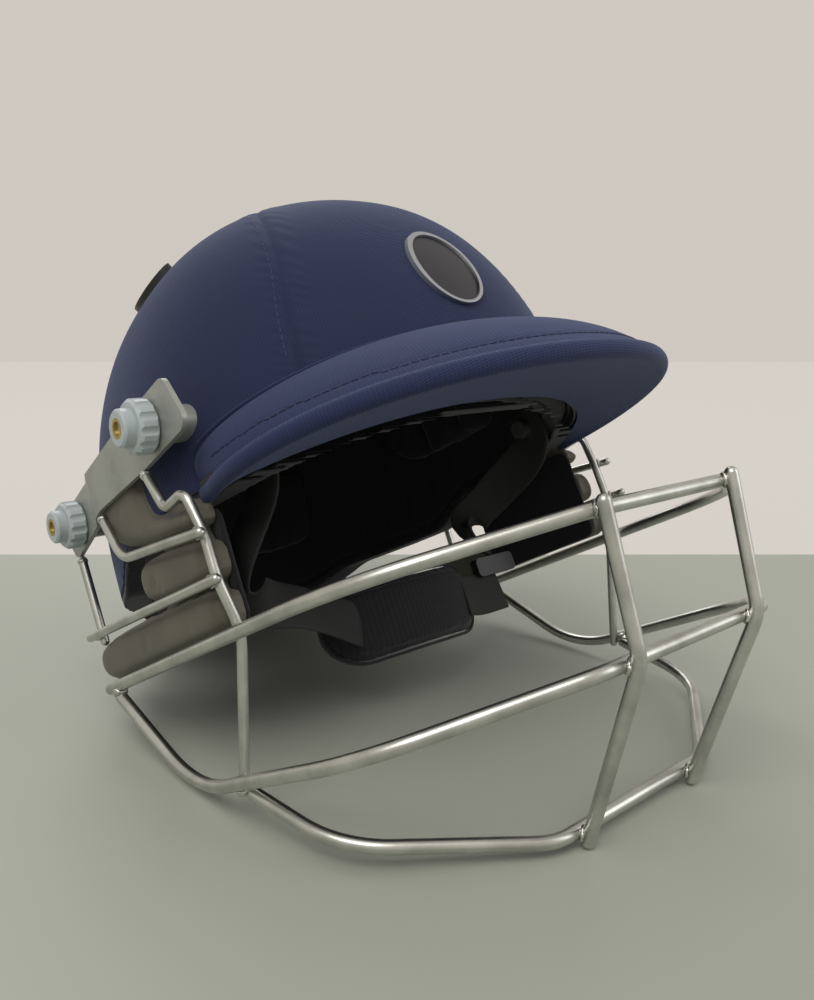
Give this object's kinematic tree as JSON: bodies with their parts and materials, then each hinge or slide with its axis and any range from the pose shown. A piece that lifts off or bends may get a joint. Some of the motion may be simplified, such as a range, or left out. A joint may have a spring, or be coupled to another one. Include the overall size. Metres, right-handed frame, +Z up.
{
  "type": "cricket_helmet",
  "caption": "Cricket helmet with a navy fabric covered shell and peak, a welded steel wire face guard on bolted side plates with grey thumb nuts, foam ear pads and a chin strap.",
  "frame": {"origin": "On the surface it rests on, below the middle of the whole helmet with its guard", "axes": "+Z up, +Y towards the back of the head, the guard's front faces -Y, X across the head; the wearer's right is -X"},
  "size_m": [0.2486, 0.3248, 0.2228],
  "materials": {
    "navy_fabric": "matte",
    "shell_plastic": "satin",
    "black_fabric": "matte",
    "webbing": "matte",
    "guard_steel": "satin",
    "grey_foam": "matte",
    "black_plastic": "matte",
    "knob_plastic": "satin",
    "brass": "satin",
    "badge_silver": "satin",
    "small_steel": "satin"
  },
  "bodies": {
    "helmet": {"outer_shell": "shell_plastic", "cover_front_panel": "navy_fabric", "cover_rear_panel": "navy_fabric", "peak_cover": "navy_fabric", "peak_welt": "navy_fabric", "rim_binding": "black_fabric", "foam_liner": "black_fabric", "sweatband": "black_fabric", "crown_pad": "black_fabric", "side_pad_left": "black_fabric", "side_pad_right": "black_fabric", "rear_pad": "black_fabric", "badge_plate": "badge_silver", "vent_cover_left": "black_plastic", "vent_cover_right": "black_plastic", "side_studs": "guard_steel", "stud_spacers": "knob_plastic", "strap_pins": "small_steel", "top_bar": "guard_steel", "middle_bar": "guard_steel", "bottom_bar": "guard_steel", "weld_beads": "guard_steel", "vertical_bar_left": "guard_steel", "vertical_bar_right": "guard_steel", "side_wire_left": "guard_steel", "side_wire_right": "guard_steel", "ear_bar_upper_left": "guard_steel", "ear_bar_upper_right": "guard_steel", "ear_bar_lower_left": "guard_steel", "ear_bar_lower_right": "guard_steel", "rear_wire_left": "guard_steel", "rear_wire_right": "guard_steel", "side_plate_left": "guard_steel", "side_plate_right": "guard_steel", "ear_pad_left": "grey_foam", "ear_pad_right": "grey_foam", "ear_pad_lining_left": "black_fabric", "ear_pad_lining_right": "black_fabric"},
    "chin_strap": {"strap_right": "webbing", "strap_left_upper": "webbing", "strap_left_lower": "webbing", "strap_slider": "black_plastic", "chin_cup": "webbing", "chin_cup_binding": "webbing", "strap_eyelets": "small_steel"},
    "thumb_nut_front_left": {"thumb_nut_front_left": "knob_plastic", "nut_insert_front_left": "brass"},
    "thumb_nut_front_right": {"thumb_nut_front_right": "knob_plastic", "nut_insert_front_right": "brass"},
    "thumb_nut_rear_left": {"thumb_nut_rear_left": "knob_plastic", "nut_insert_rear_left": "brass"},
    "thumb_nut_rear_right": {"thumb_nut_rear_right": "knob_plastic", "nut_insert_rear_right": "brass"}
  },
  "joints": [
    {"name": "chin_strap_swing", "type": "hinge", "parent": "helmet", "child": "chin_strap", "pos_m": [0, -0.01563, 0.11938], "axis": [1, 0, 0], "range_deg": [-12, 25]},
    {"name": "nut_turn_front_left", "type": "hinge", "parent": "helmet", "child": "thumb_nut_front_left", "pos_m": [0.112, -0.002, 0.13484], "axis": [1, 0, 0], "continuous": true},
    {"name": "nut_turn_front_right", "type": "hinge", "parent": "helmet", "child": "thumb_nut_front_right", "pos_m": [-0.112, -0.002, 0.13484], "axis": [1, 0, 0], "continuous": true},
    {"name": "nut_turn_rear_left", "type": "hinge", "parent": "helmet", "child": "thumb_nut_rear_left", "pos_m": [0.109, 0.07781, 0.08454], "axis": [1, 0, 0], "continuous": true},
    {"name": "nut_turn_rear_right", "type": "hinge", "parent": "helmet", "child": "thumb_nut_rear_right", "pos_m": [-0.109, 0.07781, 0.08454], "axis": [1, 0, 0], "continuous": true}
  ]
}
